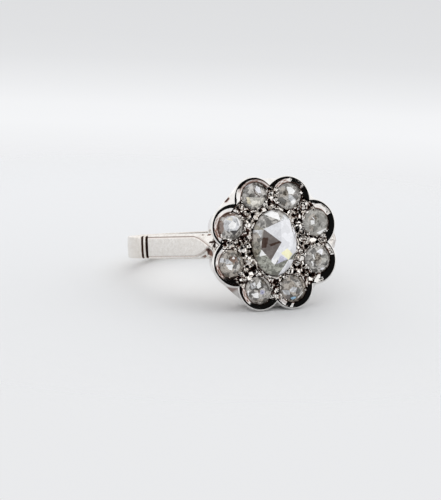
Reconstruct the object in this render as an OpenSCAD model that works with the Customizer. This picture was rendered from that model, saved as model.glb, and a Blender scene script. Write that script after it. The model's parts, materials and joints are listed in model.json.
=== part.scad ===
// A daisy cluster ring, lying on its side as it rests by itself.
// Its forms are drawn in the head's own frame: x across the head, y along the finger,
// z from the finger's axis out through the centre stone. at_rest() then lays it down.

/* [Centre stone] */
// Width of the oval centre stone, across the finger
centre_w = 4.6; // [4:0.1:5.4]
// Length of the oval centre stone, along the finger
centre_l = 6.3; // [5.4:0.1:7]
// Height of its dome above the girdle
centre_dome = 1.15; // [0.8:0.05:1.4]
// Thickness of its girdle
centre_girdle = 0.22; // [0.16:0.01:0.3]

/* [Side stones] */
// Diameter of the round side stones
side_d = 2.45; // [2.1:0.05:2.8]
// Height of their domes above the girdle
side_dome = 0.85; // [0.6:0.05:1]
// Thickness of their girdles
side_girdle = 0.13; // [0.1:0.01:0.2]
// Open metal between the centre stone and the nearest side stones
field_gap = 0.61; // [0.5:0.01:0.9]
// Clearance between a stone and its seat
seat_gap = 0.03; // [0.02:0.005:0.05]

/* [Petal rim] */
// Width of the flat lip on top of the rim
lip_w = 0.25; // [0.15:0.01:0.4]
// Width of the polished bevel inside the lip
bevel_w = 0.59; // [0.4:0.01:0.7]
// Depth of the bevel below the lip
bevel_depth = 0.22; // [0.1:0.01:0.28]
// Distance that the petals sit inward of their stones
petal_inset = 0.15; // [0.05:0.01:0.25]
// Slope of the petals' outer wall from upright, in degrees
wall_slope = 15; // [12:0.5:20]

/* [Cup] */
// Height of the cup, from its base to the rim
cup_depth = 3; // [2.6:0.1:3.6]
// Width that the wall gains under each notch
waist_bulge = 0.65; // [0.5:0.01:0.7]
// Depth of the wall's widest line below the rim
waist_depth = 0.9; // [0.7:0.05:1.2]
// Width that the base edge has beyond the notches
base_bulge = 0.18; // [0.1:0.01:0.2]
// Thickness of the cup's wall at its open base
cup_wall = 0.7; // [0.5:0.05:0.9]
// Gap between the cup's base and the hoop below it
cup_lift = 0.15; // [0.1:0.01:0.4]

/* [Plate and grains] */
// Depth of the plate's field below the rim
field_depth = 0.35; // [0.3:0.01:0.45]
// Thickness of the plate that carries the stones
plate_t = 1; // [0.8:0.05:1.3]
// Width of the notch metal inside the rim's lip
notch_w = 0.39; // [0.3:0.01:0.5]
// Width of the raised collar round the centre stone
collar_w = 0.3; // [0.2:0.01:0.4]
// Height of the collar above the field
collar_h = 0.27; // [0.15:0.01:0.32]
// Radius of the setting grains
grain_r = 0.22; // [0.16:0.01:0.25]

/* [Finger hoop] */
// Diameter of the finger hole
finger_d = 17.3; // [15:0.1:21]
// Thickness of the hoop
hoop_t = 1.2; // [1:0.05:1.6]
// Width of the hoop along the finger
hoop_w = 2.2; // [1.8:0.05:2.6]
// Chamfer on the hoop's edges
hoop_edge = 0.12; // [0.05:0.01:0.2]
// Width of the two engraved grooves
groove_w = 0.3; // [0.2:0.01:0.4]
// Depth of the grooves
groove_depth = 0.2; // [0.1:0.01:0.3]
// Distance between the grooves' middles
groove_pitch = 0.88; // [0.7:0.01:1.1]

/* [Shoulders] */
// Width of the shoulders along the finger
shoulder_w = 2.4; // [2.2:0.05:2.8]
// Distance that the shoulder's tip stands out from the cup's widest line
tip_reach = 0.51; // [0.4:0.01:0.7]
// Depth of the shoulder's tip below the rim
tip_depth = 0.8; // [0.7:0.05:1.2]
// Length of the panel's pointed end
ogive_len = 2.1; // [1.6:0.1:2.6]
// Width of the slanted border beside the panel
border_w = 0.2; // [0.1:0.01:0.3]
// Drop of that border at the shoulder's edge
border_drop = 0.12; // [0.05:0.01:0.2]
// Height of the pointed panel above the two arms beside it
panel_h = 0.3; // [0.2:0.01:0.4]
// Length of the small pocket beside the panel's tip
pocket_len = 0.8; // [0.5:0.05:1]
// Width of that pocket
pocket_w = 0.66; // [0.4:0.02:0.8]

/* [Hidden] */
$fn = 96;
// Overlap that makes a cut run clear through a face
cut = 1;

// Eight petals, each with its stone; the notches lie between them
petals = 8;
half_step = 180 / petals;
side_r = side_d / 2;
centre_a = centre_w / 2;
centre_b = centre_l / 2;
centre_reach = 1 / sqrt(pow(sin(half_step) / centre_a, 2) + pow(cos(half_step) / centre_b, 2));
stone_circle = centre_reach + field_gap + side_r;
petal_circle = stone_circle - petal_inset;
bevel_foot = side_r + petal_inset - seat_gap;
petal_r = bevel_foot + bevel_w + lip_w;
notch_r = petal_circle * cos(half_step) + sqrt(pow(petal_r, 2) - pow(petal_circle * sin(half_step), 2));
field_r = notch_r - notch_w;
waist_r = notch_r + waist_bulge;
base_r = notch_r + base_bulge;

// Heights above the finger's axis
hoop_in = finger_d / 2;
hoop_out = hoop_in + hoop_t;
base_z = hoop_out + cup_lift;
rim_z = base_z + cup_depth;
waist_z = rim_z - waist_depth;
field_z = rim_z - field_depth;
plate_z = field_z - plate_t;
collar_z = field_z + collar_h;
side_z = field_z + 0.4 * side_girdle;
side_seat_z = side_z - side_girdle - seat_gap;
centre_z = collar_z + 0.4 * centre_girdle;
centre_seat_z = centre_z - centre_girdle - seat_gap;
bevel_z = rim_z - bevel_depth;

// The shoulder's outer line starts just inside the hoop and ends at the tip
tip = [waist_r + tip_reach, rim_z - tip_depth];
root_angle = atan2(tip[0], tip[1]) + acos(hoop_out / norm(tip));
root_r = hoop_out - 0.05;
root = root_r * [sin(root_angle), cos(root_angle)];
panel_turn = -atan2(tip[1] - root[1], tip[0] - root[0]);
panel_half = shoulder_w / 2 - border_w;
ogive_r = (pow(panel_half, 2) + pow(ogive_len, 2)) / (2 * panel_half);

// The tilt at which two petals and the hoop's back edge touch the same floor
petal_reach = petal_circle * cos(half_step) + petal_r;
back_r = hoop_out - hoop_edge;
rest_tilt = atan((petal_reach - hoop_w / 2) / (rim_z + back_r));
rest_lift = hoop_w / 2 * cos(rest_tilt) + back_r * sin(rest_tilt);
petal_front = petal_reach * sin(rest_tilt) + rim_z * cos(rest_tilt);
stone_front = stone_circle * cos(half_step) * sin(rest_tilt) + (side_z + side_dome) * cos(rest_tilt);
rest_front = max(petal_front, stone_front, (centre_z + centre_dome) * cos(rest_tilt));
rest_back = (hoop_w / 2 - hoop_edge) * sin(rest_tilt) + hoop_out * cos(rest_tilt);

// Corners of the centre stone's irregular star: angle round the oval, share of its radius
CENTRE_STAR = [[16, 0.75], [75, 0.67], [144, 0.74], [191, 0.78], [237, 0.62], [311, 0.69]];
// Place of its point, a little off the middle
CENTRE_PEAK = [0.22, 0.04];
// Corners of a side stone's even star
SIDE_STAR = [for (i = [0:5]) [60 * i, 0.6]];
// Share of the dome's height at which the star's corners lie
star_rise = 0.64;
// How far each side stone is turned in its seat, in degrees
SIDE_TURN = [8, 31, 14, 47, 22, 3, 38, 52];

// Places of the setting grains round each side stone, in degrees from its inward side
GRAIN_ANGLES = [-92, -50, 50, 92];

// Lays the ring on its side, so that two petals and the back of the hoop touch the floor.
module at_rest() {
    translate([0, (rest_front - rest_back) / 2, rest_lift]) rotate([90 - rest_tilt, 0, 0]) children();
}

// Repeats its children once for each petal or, with offset 0, for each notch.
module around(offset, radius) {
    for (i = [0:petals - 1]) rotate([0, 0, -(offset + 360 / petals * i)]) translate([0, radius, 0]) children();
}

function ellipse(a, b, n) = [for (i = [0:n - 1]) [a * cos(360 * i / n), b * sin(360 * i / n)]];

// Height of the plane through three points, above the point q.
function plane_z(p, r, s, q) =
    let (n = cross(r - p, s - p)) p[2] - (n[0] * (q[0] - p[0]) + n[1] * (q[1] - p[1])) / n[2];

// A rose-cut stone: six star facets meet in a point, and a zigzag of eighteen facets
// runs down to the girdle. Its back is flat. The girdle's line dips between the corners,
// because every facet is plane.
module rose_cut(a, b, dome, girdle, star, peak = [0, 0]) {
    count = len(star);
    mids = [for (i = [0:count - 1])
        let (next = i < count - 1 ? star[i + 1][0] : star[0][0] + 360) (star[i][0] + next) / 2];
    apex = [[peak[0], peak[1], dome]];
    corners = [for (s = star) [s[1] * a * cos(s[0]), s[1] * b * sin(s[0]), star_rise * dome]];
    // Four girdle points for each star corner: at the corner, at the gap's middle, and between
    stations = [for (i = [0:count - 1])
        let (before = mids[(i + count - 1) % count] - (i == 0 ? 360 : 0))
        each [(before + star[i][0]) / 2, star[i][0], (star[i][0] + mids[i]) / 2, mids[i]]];
    flat = [for (t = stations) [a * cos(t), b * sin(t), 0]];
    total = len(flat);
    edge = [for (j = [0:total - 1])
        let (i = floor(j / 4), before = flat[(4 * i - 1 + total) % total])
        j % 4 == 0 ? [flat[j][0], flat[j][1], plane_z(corners[i], before, flat[4 * i + 1], flat[j])]
        : j % 4 == 2 ? [flat[j][0], flat[j][1], plane_z(corners[i], flat[4 * i + 1], flat[4 * i + 3], flat[j])]
        : flat[j]];
    back = [for (p = flat) [p[0], p[1], -girdle]];
    c0 = 1;
    e0 = c0 + count;
    b0 = e0 + total;
    stars = [for (i = [0:count - 1]) [0, c0 + (i + 1) % count, c0 + i]];
    middles = [for (i = [0:count - 1]) [c0 + i, c0 + (i + 1) % count, e0 + 4 * i + 3]];
    lowers = [for (i = [0:count - 1]) each [
        [c0 + i, e0 + 4 * i + 1, e0 + 4 * i, e0 + (4 * i - 1 + total) % total],
        [c0 + i, e0 + 4 * i + 3, e0 + 4 * i + 2, e0 + 4 * i + 1]]];
    walls = [for (j = [0:total - 1]) [e0 + j, e0 + (j + 1) % total, b0 + (j + 1) % total, b0 + j]];
    base = [[for (j = [0:total - 1]) b0 + j]];
    polyhedron(concat(apex, corners, edge, back), concat(stars, middles, lowers, walls, base), convexity = 4);
}

module centre_stone() {
    color("aliceblue") at_rest() translate([0, 0, centre_z])
        rose_cut(centre_a, centre_b, centre_dome, centre_girdle, CENTRE_STAR, CENTRE_PEAK);
}

// One of the eight round stones, counted clockwise from the top right.
module side_stone(number) {
    color("gainsboro") at_rest() rotate([0, 0, -half_step * (2 * number - 1)])
        translate([0, stone_circle, side_z]) rotate([0, 0, SIDE_TURN[number - 1]])
            rose_cut(side_r, side_r, side_dome, side_girdle, SIDE_STAR);
}

// The hoop round the finger, with its four edges chamfered.
module hoop() {
    w = hoop_w / 2;
    e = hoop_edge;
    rotate([90, 0, 0]) rotate_extrude()
        polygon([[hoop_in, e - w], [hoop_in + e, -w], [hoop_out - e, -w], [hoop_out, e - w],
                 [hoop_out, w - e], [hoop_out - e, w], [hoop_in + e, w], [hoop_in, w - e]]);
}

// Places its children at the shoulder's tip: x runs along the panel, z into the metal.
module on_panel() {
    translate([tip[0], 0, tip[1]]) rotate([0, panel_turn, 0]) children();
}

// The pointed arch that ends the raised panel.
module ogive() {
    intersection() {
        translate([-ogive_len, panel_half - ogive_r]) circle(ogive_r);
        translate([-ogive_len, ogive_r - panel_half]) circle(ogive_r);
        translate([-ogive_len - cut, -panel_half - cut]) square([ogive_len + 2 * cut, 2 * panel_half + 2 * cut]);
    }
}

// A solid wedge from the hoop up to the cup's notch. Its face carries the flat panel.
module shoulder() {
    foot = 0.5 * (hoop_in + hoop_out);
    difference() {
        rotate([90, 0, 0]) linear_extrude(shoulder_w, center = true)
            polygon([root, tip, [waist_r - 0.6, tip[1] + 0.1], [base_r - 0.4, base_z],
                     foot * [sin(47), cos(47)], foot * [sin(root_angle), cos(root_angle)]]);
        on_panel() {
            difference() {
                translate([-ogive_len, -shoulder_w / 2 - cut, -cut])
                    cube([ogive_len + 2 * cut, shoulder_w + 2 * cut, panel_h + cut]);
                translate([0, 0, -2 * cut]) linear_extrude(panel_h + 4 * cut) ogive();
            }
            for (side = [-1, 1]) translate([0, side * shoulder_w / 2, 0]) {
                rotate([0, -90, 0]) linear_extrude(2 * hoop_out)
                    polygon([[border_drop, 0], [0, -side * border_w], [-cut, -side * border_w], [-cut, side], [border_drop, side]]);
                translate([-0.3 * pocket_len, -side * (shoulder_w - pocket_w) / 2 + side * 0.17, -cut])
                    linear_extrude(panel_h + cut + 0.5)
                        polygon([[-pocket_len / 2, 0], [0, -pocket_w / 2], [pocket_len / 2, 0], [0, pocket_w / 2]]);
            }
        }
    }
}

// The two grooves engraved across the hoop where the shoulder begins.
module grooves() {
    rotate([0, root_angle, 0]) for (side = [-0.5, 0.5])
        translate([side * groove_pitch - groove_w / 2, -shoulder_w, hoop_out - groove_depth])
            cube([groove_w, 2 * shoulder_w, groove_depth + cut]);
}

// The fluted cup: eight tapering petals round a bowl that is widest just under the rim.
module cup() {
    around(half_step, petal_circle) translate([0, 0, base_z])
        cylinder(h = cup_depth, r1 = petal_r - cup_depth * tan(wall_slope), r2 = petal_r);
    rotate_extrude() polygon([[0, base_z], [base_r, base_z], [waist_r, waist_z],
                              [notch_r - 0.14, rim_z], [0, rim_z]]);
}

// What is cut out of the cup's face: the petals' bevelled dishes and the field between them.
module dishes() {
    around(half_step, petal_circle) {
        translate([0, 0, bevel_z]) cylinder(h = bevel_depth, r1 = bevel_foot, r2 = bevel_foot + bevel_w);
        translate([0, 0, rim_z - 0.01]) cylinder(h = cut, r = bevel_foot + bevel_w);
        translate([0, 0, field_z]) cylinder(h = cut, r = bevel_foot);
    }
    translate([0, 0, field_z]) cylinder(h = field_depth + cut, r = field_r);
}

// The stones' seats, and the holes that let light in behind them.
module seats() {
    around(half_step, stone_circle) {
        translate([0, 0, side_seat_z]) cylinder(h = cut, r = side_r + seat_gap);
        translate([0, 0, plate_z - 0.3]) cylinder(h = plate_t + cut, r = 0.57 * side_r);
    }
    translate([0, 0, centre_seat_z]) linear_extrude(cut)
        polygon(ellipse(centre_a + seat_gap, centre_b + seat_gap, 48));
    translate([0, 0, plate_z - cut]) linear_extrude(plate_t + 2 * cut)
        polygon(ellipse(centre_a - 0.55, centre_b - 0.55, 48));
}

// The collar round the centre stone.
module collar() {
    translate([0, 0, field_z - 0.2]) linear_extrude(collar_h + 0.2)
        polygon(ellipse(centre_a + collar_w, centre_b + collar_w, 48));
}

// The grains of metal that hold the stones: round each side stone, round the centre
// stone, and one in each notch.
module grains() {
    reach = side_r + seat_gap + grain_r;
    around(half_step, stone_circle) for (t = GRAIN_ANGLES)
        rotate([0, 0, 180 + t]) translate([0, reach, field_z + 0.1]) sphere(grain_r, $fn = 24);
    around(0, stone_circle * cos(half_step) + 0.45 * side_r)
        translate([0, 0, field_z + 0.08]) sphere(grain_r, $fn = 24);
    for (i = [0:petals - 1]) let (t = 360 / petals * i)
        translate([(centre_a + seat_gap + grain_r) * cos(t), (centre_b + seat_gap + grain_r) * sin(t),
                   collar_z + 0.02]) sphere(grain_r, $fn = 24);
}

// All the metal, soldered into one: hoop, shoulders, cup, plate and grains.
module ring_mount() {
    color("lightgray") at_rest() difference() {
        union() {
            difference() {
                union() {
                    difference() {
                        cup();
                        dishes();
                    }
                    collar();
                }
                seats();
                translate([0, 0, base_z - cut]) cylinder(h = plate_z - base_z + cut, r = base_r - cup_wall);
            }
            grains();
            hoop();
            for (side = [0, 1]) mirror([side, 0, 0]) shoulder();
        }
        for (side = [0, 1]) mirror([side, 0, 0]) grooves();
        rotate([90, 0, 0]) cylinder(h = 2 * shoulder_w, r = hoop_in, center = true);
    }
}

ring_mount();
centre_stone();
side_stone(1);  // side_stone_1
side_stone(2);  // side_stone_2
side_stone(3);  // side_stone_3
side_stone(4);  // side_stone_4
side_stone(5);  // side_stone_5
side_stone(6);  // side_stone_6
side_stone(7);  // side_stone_7
side_stone(8);  // side_stone_8
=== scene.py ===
"""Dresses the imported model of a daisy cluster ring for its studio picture.

The ring is worked out in the head's own frame, in millimetres: x across the head, y along
the finger, z from the finger's axis out through the centre stone. at_rest() lays it down.
"""
import json
import math
import bpy
import numpy as np
from mathutils import Matrix


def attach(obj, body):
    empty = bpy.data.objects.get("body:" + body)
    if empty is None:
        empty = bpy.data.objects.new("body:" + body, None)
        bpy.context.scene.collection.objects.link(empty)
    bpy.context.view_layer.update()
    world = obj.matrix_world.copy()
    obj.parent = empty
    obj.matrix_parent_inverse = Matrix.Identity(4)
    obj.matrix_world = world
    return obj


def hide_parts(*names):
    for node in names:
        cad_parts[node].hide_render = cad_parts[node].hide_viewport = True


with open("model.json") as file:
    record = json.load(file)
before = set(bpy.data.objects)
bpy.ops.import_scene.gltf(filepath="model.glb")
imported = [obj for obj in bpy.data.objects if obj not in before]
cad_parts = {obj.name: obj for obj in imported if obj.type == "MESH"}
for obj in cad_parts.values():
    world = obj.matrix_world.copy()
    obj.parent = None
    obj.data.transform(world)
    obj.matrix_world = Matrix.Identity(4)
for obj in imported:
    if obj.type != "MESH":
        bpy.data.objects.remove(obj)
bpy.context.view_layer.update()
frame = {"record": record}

# The ring lies on its side, on two petals and the back edge of the hoop, so the finger
# hole looks up and a little back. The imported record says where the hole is.
hole = frame["record"]["mounts"][0]
hole_middle = np.array(hole["pos_m"])
finger_axis = np.array(hole["axis"])
outward = np.cross((1, 0, 0), finger_axis)
# How far out from the finger's axis the head's rim stands
RIM_Z = 13.0


def at_rest(points):
    """Metres in the row's frame: the hole's middle, plus x across, y times the finger's
    axis and z times the outward direction, all over 1000."""
    return hole_middle + np.asarray(points) @ np.array([(1, 0, 0), finger_axis, outward]) / 1000


# The camera stands low, in front and to the left of the head, with a long lens. It is aimed
# to the left of the head and a little below it.
CAMERA_LEFT, CAMERA_UP, CAMERA_ROLL = 23.3, 13.5, 2.7
CAMERA_AWAY = 0.2
FOCAL_PIXELS, PICTURE_PIXELS, SENSOR_WIDTH = 2100, 500, 36
AIM_LEFT, AIM_DOWN = 54.3, 7.2
NEAREST, FURTHEST = 0.01, 10


def placed(name, data):
    """A new object in the scene, which holds that camera or mesh."""
    shown = bpy.data.objects.new(name, data)
    bpy.context.scene.collection.objects.link(shown)
    return shown


left, above, roll = (math.radians(a) for a in (CAMERA_LEFT, CAMERA_UP, CAMERA_ROLL))
toward = np.array([-math.sin(left) * math.cos(above), -math.cos(left) * math.cos(above), math.sin(above)])
rightward = np.array([math.cos(left), -math.sin(left), 0])
upward = np.cross(toward, rightward)
rightward, upward = (math.cos(roll) * rightward + math.sin(roll) * upward,
                     math.cos(roll) * upward - math.sin(roll) * rightward)
ahead = -toward - AIM_LEFT / FOCAL_PIXELS * rightward - AIM_DOWN / FOCAL_PIXELS * upward
ahead /= np.linalg.norm(ahead)
rightward -= rightward @ ahead * ahead
rightward /= np.linalg.norm(rightward)
upward = np.cross(rightward, ahead)
camera = placed("camera", bpy.data.cameras.new("camera"))
bpy.context.scene.camera = camera
pose = np.eye(4)
pose[:3, 0], pose[:3, 1], pose[:3, 2] = rightward, upward, -ahead
pose[:3, 3] = at_rest((0, 0, RIM_Z)) + CAMERA_AWAY * toward
camera.matrix_world = Matrix(pose)
camera.data.sensor_width = SENSOR_WIDTH
camera.data.lens = SENSOR_WIDTH * FOCAL_PIXELS / PICTURE_PIXELS
camera.data.clip_start, camera.data.clip_end = NEAREST, FURTHEST


# The studio is a white light tent with a dark open front, and a pale sheet that lies
# under the ring. The tent is the world: it is white to the sides, above and behind.
class Value:
    """A socket of a node tree. Sums on it add Math nodes, vector() adds a Vector Math node, and
    node() any other."""

    def __init__(self, tree, socket=None):
        self.tree, self.socket = tree, socket

    def node(self, kind, settings={}, sockets={}, output=0):
        made = self.tree.nodes.new(kind)
        for key, value in settings.items():
            if key == "stops":
                while len(made.color_ramp.elements) < len(value):
                    made.color_ramp.elements.new(1)
                for stop, (place, colour) in zip(made.color_ramp.elements, value):
                    stop.position, stop.color = place, colour
            else:
                setattr(made, key, value)
        for key, value in sockets.items():
            if isinstance(value, Value):
                self.tree.links.new(value.socket, made.inputs[key])
            else:
                made.inputs[key].default_value = value
        return Value(self.tree, made.outputs[output] if made.outputs else None)

    def math(self, operation, *terms):
        return self.node("ShaderNodeMath", {"operation": operation}, dict(enumerate(terms)))

    def vector(self, operation, *terms, output=0):
        return self.node("ShaderNodeVectorMath", {"operation": operation}, dict(enumerate(terms)), output)

    def __add__(self, other):
        return self.math("ADD", self, other)

    def __sub__(self, other):
        return self.math("SUBTRACT", self, other)

    def __rsub__(self, other):
        return self.math("SUBTRACT", other, self)

    def __mul__(self, other):
        return self.math("MULTIPLY", self, other)

    __radd__, __rmul__ = __add__, __mul__

    def smooth(self, low, high):
        """0 below low, 1 above high, and an even S between them."""
        return self.node("ShaderNodeMapRange", {"interpolation_type": "SMOOTHSTEP"},
                         {"Value": self, "From Min": low, "From Max": high})

    def mix(self, first, second):
        """The first colour where the value is 0, the second where it is 1."""
        return self.node("ShaderNodeMix", {"data_type": "RGBA"}, {0: self, 6: first, 7: second}, 2)


def emptied(block):
    """The node tree of a world or a material, with nothing in it, as a Value."""
    block.use_nodes = True
    block.node_tree.nodes.clear()
    return Value(block.node_tree)


TENT_LIGHT, DARK_LIGHT = 1.16, 0.006
# The dark front, in degrees round from straight in front and of rise: its sides, with how
# soft they are, how far the right one leans for each degree up to LEAN_TOP, and its ends
DARK_LEFT, LEFT_SOFT = -42.0, 3
DARK_RIGHT, RIGHT_SOFT = 34.0, 2
DARK_LEAN, LEAN_TOP = 0.6, 40
DARK_BOTTOM, DARK_TOP = (-13, -12), (55, 59)
# Matt surfaces see an even fill and two soft lamps: where each one is, and its strength
FILL_LIGHT, FILL_TINT = 0.765, (0.99, 0.995, 1, 1)
LAMPS = (((0.7, 0.2, 0.68), 0.58), ((0.2, 0.7, 0.68), 0.6))
LAMP_EDGE = 0.6
# The backdrop behind the ring: degrees of rise, and how light it is there
BACKDROP = [(-24, 0.823), (-13.5, 0.835), (-11.5, 0.86), (-10.4, 0.915), (-9.9, 0.905), (-9.3, 0.845),
            (-8.6, 0.78), (-8.0, 0.757), (-6.5, 0.735)]
BACKDROP_TINT = (0.992, 1, 1.017)
world = bpy.data.worlds.new("light_tent")
bpy.context.scene.world = world
tent = emptied(world)
direction = tent.node("ShaderNodeTexCoord")
split = {axis: direction.node("ShaderNodeSeparateXYZ", {}, {0: direction}, i) for i, axis in enumerate("xyz")}
turn = tent.math("ARCTAN2", split["x"], 0 - split["y"]) * math.degrees(1)
rise = tent.math("ARCSINE", split["z"]) * math.degrees(1)
right_edge = DARK_RIGHT + DARK_LEAN * tent.math("MINIMUM", rise, LEAN_TOP)
dark = (turn.smooth(DARK_LEFT - LEFT_SOFT, DARK_LEFT + LEFT_SOFT)
        * (1 - turn.smooth(right_edge - RIGHT_SOFT, right_edge + RIGHT_SOFT))
        * rise.smooth(*DARK_BOTTOM) * (1 - rise.smooth(*DARK_TOP)))
lowest, highest = BACKDROP[0][0], BACKDROP[-1][0]
seen = rise.node("ShaderNodeMapRange", {}, {"Value": rise, "From Min": lowest, "From Max": highest})
stops = [((a - lowest) / (highest - lowest), (*(v * tint for tint in BACKDROP_TINT), 1)) for a, v in BACKDROP]
backdrop = seen.node("ShaderNodeValToRGB", {"stops": stops}, {0: seen})
tent_colour = dark.mix((1, 1, 1, 1), (DARK_LIGHT, DARK_LIGHT, DARK_LIGHT, 1))
tent_shade = tent.node("ShaderNodeBackground", {}, {"Color": tent_colour, "Strength": TENT_LIGHT})
fill_light = FILL_LIGHT
for lamp_side, lamp_light in LAMPS:
    lamp = tent.vector("DOT_PRODUCT", direction, lamp_side, output=1)
    fill_light = fill_light + lamp_light * lamp.smooth(LAMP_EDGE, 1)
fill = tent.node("ShaderNodeBackground", {}, {"Color": FILL_TINT, "Strength": fill_light})
shade = tent.node("ShaderNodeMixShader", {}, {
    0: tent.node("ShaderNodeLightPath", output=2), 1: tent_shade, 2: fill})
behind = tent.node("ShaderNodeBackground", {}, {"Color": backdrop})
shade = tent.node("ShaderNodeMixShader", {}, {0: tent.node("ShaderNodeLightPath"), 1: shade, 2: behind})
tent.node("ShaderNodeOutputWorld", {}, {"Surface": shade})
world.cycles.sampling_method = "NONE"
bpy.context.scene.view_settings.view_transform = "Standard"

# The sheet: it reaches a little way behind the ring and less far in front, and fades out.
# Its colour is painted light: darker in front and paler behind, and a little paler in an oval spot inside the
# hoop, where the metal throws light on it.
SHEET_STEPS, SHEET_RINGS = 96, 9
SHEET_REACH, FRONT_CUT, SHEET_Z = 0.075, 0.029, -0.00002
FADE_FROM = 0.6
# Painted light: the sheet's white in front, where it is shaded, and behind, where it is lit more
SHADED_FRONT_WHITE, LIT_BACK_WHITE = (0.795, 0.80, 0.81, 1), (0.83, 0.836, 0.85, 1)
WHITE_FROM, WHITE_TO = -0.015, 0.05
GLOW_WHITE, GLOW_FROM, GLOW_TO = (0.872, 0.875, 0.882, 1), 0.2, 1.3
GLOW_PLACE, GLOW_HALF = (-0.0065, -0.001), (0.0075, 0.014)
around = np.linspace(0, 2 * np.pi, SHEET_STEPS, endpoint=False)
in_front = 0.5 + 0.5 * np.cos(around)
reach = SHEET_REACH - FRONT_CUT * in_front ** 0.5
share = np.linspace(0, 1, SHEET_RINGS)
sheet_points = np.stack([share[:, None] * reach * np.sin(around), -share[:, None] * reach * np.cos(around),
                         np.full((SHEET_RINGS, SHEET_STEPS), SHEET_Z)], -1)
sheet_mesh = bpy.data.meshes.new("sheet")
index = np.arange(SHEET_RINGS * SHEET_STEPS).reshape(SHEET_RINGS, SHEET_STEPS)
turned = np.roll(index, -1, 1)
sheet_mesh.from_pydata(sheet_points.reshape(-1, 3), [], np.stack(
    [index[:-1], index[1:], turned[1:], turned[:-1]], -1).reshape(-1, 4))
sheet_mesh.attributes.new("share", "FLOAT", "POINT").data.foreach_set(
    "value", np.repeat(share, SHEET_STEPS).astype(np.float32))
sheet = placed("sheet", sheet_mesh)
sheet_finish = bpy.data.materials.new("white_sheet")
paper = emptied(sheet_finish)
fade = paper.node("ShaderNodeAttribute", {"attribute_name": "share"}, {}, 2).smooth(FADE_FROM, 1)
on_sheet = paper.node("ShaderNodeTexCoord", {}, {}, 3)
depth = paper.node("ShaderNodeSeparateXYZ", {}, {0: on_sheet}, 1)
white = depth.smooth(WHITE_FROM, WHITE_TO).mix(SHADED_FRONT_WHITE, LIT_BACK_WHITE)
from_glow = paper.vector("SUBTRACT", on_sheet, (*GLOW_PLACE, 0))
from_glow = paper.vector("LENGTH", paper.vector("DIVIDE", from_glow, (*GLOW_HALF, 1)), output=1)
white = (1 - from_glow.smooth(GLOW_FROM, GLOW_TO)).mix(white, GLOW_WHITE)
cover = paper.node("ShaderNodeMixShader", {}, {
    0: fade,
    1: paper.node("ShaderNodeBsdfDiffuse", {}, {"Color": white}),
    2: paper.node("ShaderNodeBsdfTransparent")})
paper.node("ShaderNodeOutputMaterial", {}, {"Surface": cover})
sheet_mesh.materials.append(sheet_finish)

# The band is the hoop round the finger: white gold, drawn and bent, with softly rounded
# edges. Two grooves are engraved across it on each side, where the shoulders begin.
FINGER_R, HOOP_R, HOOP_HALF = 8.65, 9.85, 1.1
EDGE_R, CROWN = 0.13, 0.05
# Between which radii the crown sets in, and the grooves
CROWN_FROM, CROWN_TO = 9.2, 9.7
GROOVE_FROM, GROOVE_TO = 9.4, 9.6
# The shoulders' roots, in degrees from the head. From a root outwards: where the middle of
# each groove is, and half its width. The groove beside the panel is the wider one.
ROOT_ANGLE = 73.8635
GROOVES = ((-0.22, 0.25), (0.59, 0.2))
GROOVE_DEPTH, GROOVE_FLANK = 0.2, 0.045
# Steps round the hoop, and finer ones for that far to both sides of each root
HOOP_STEPS, FINE_STEPS, FINE_REACH = 360, 81, 1.0
LONGEST_SIDE = 0.15
# White gold where it is pale and where it is deep, and how much full warmth takes off each
PALE_GOLD, PALE_WARMTH = np.array((0.82, 0.815, 0.81)), np.array((0, 0.04, 0.09))
DEEP_GOLD, DEEP_WARMTH = np.array((0.70, 0.69, 0.68)), np.array((0, 0.05, 0.11))
# The patterns of wear, per millimetre: clouds, specks and streaks. How much the last two
# change the roughness, and how strong and deep their relief is.
CLOUD_SCALE, SPECK_SCALE, STREAK_SCALE = 2.6, 7.0, 2.0
SPECK_WEAR, STREAK_WEAR, WEAR_RELIEF, WEAR_DEPTH = 0.5, 0.4, 0.25, 0.00002
# Soiling and painted shade, which one attribute carries: their colours, between which shares each sets in,
# and how much they roughen
BROWN_DIRT_AND_SHADE, BROWN_FROM, BROWN_TO = (0.23, 0.135, 0.105, 1), 0.05, 0.6
BLACK_DIRT_AND_SHADE, BLACK_FROM, BLACK_TO = (0.05, 0.026, 0.021, 1), 0.5, 1
DIRT_AND_SHADE_SPECKS, DIRT_AND_SHADE_ROUGH = 0.5, 0.25


def shell(name, points, ring=True, sharp=38, **marks):
    """A closed mesh over a grid of points (rows, columns, xyz) in the head's frame. Columns
    join up in a loop. Rows do so too for a ring, and otherwise end in a fan to their mean.
    Edges over that many degrees are sharp. Each mark is a number per point, kept as the
    mesh's own attribute."""
    rows, columns = points.shape[:2]
    grid = np.arange(rows * columns).reshape(rows, columns)
    near, far = (grid, np.roll(grid, -1, 0)) if ring else (grid[:-1], grid[1:])
    corners = [near, np.roll(near, -1, 1), np.roll(far, -1, 1), far]
    quads = np.stack(corners, -1).reshape(-1, 4)
    flat = points.reshape(-1, 3)
    faces = quads.tolist()
    if not ring:
        flat = np.vstack([flat, points[0].mean(0), points[-1].mean(0)])
        first = np.stack([np.full(columns, len(flat) - 2), np.roll(grid[0], -1), grid[0]], -1)
        last = np.stack([np.full(columns, len(flat) - 1), grid[-1], np.roll(grid[-1], -1)], -1)
        faces += first.tolist() + last.tolist()
    a, b, c, d = (flat[quads[:, i]] for i in range(4))
    if (np.cross(b, c) * a).sum() + (np.cross(c, d) * a).sum() < 0:
        faces = [face[::-1] for face in faces]
    mesh = bpy.data.meshes.new(name)
    mesh.from_pydata(at_rest(flat), [], faces)
    for mark, values in marks.items():
        values = np.broadcast_to(values, points.shape[:2]).reshape(-1)
        values = np.concatenate([values, np.full(len(flat) - len(values), values.mean())])
        mesh.attributes.new(mark, "FLOAT", "POINT").data.foreach_set("value", values.astype(np.float32))
    mesh.polygons.foreach_set("use_smooth", np.ones(len(faces), bool))
    mesh.set_sharp_from_angle(angle=math.radians(sharp))
    return placed(name, mesh)


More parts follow.
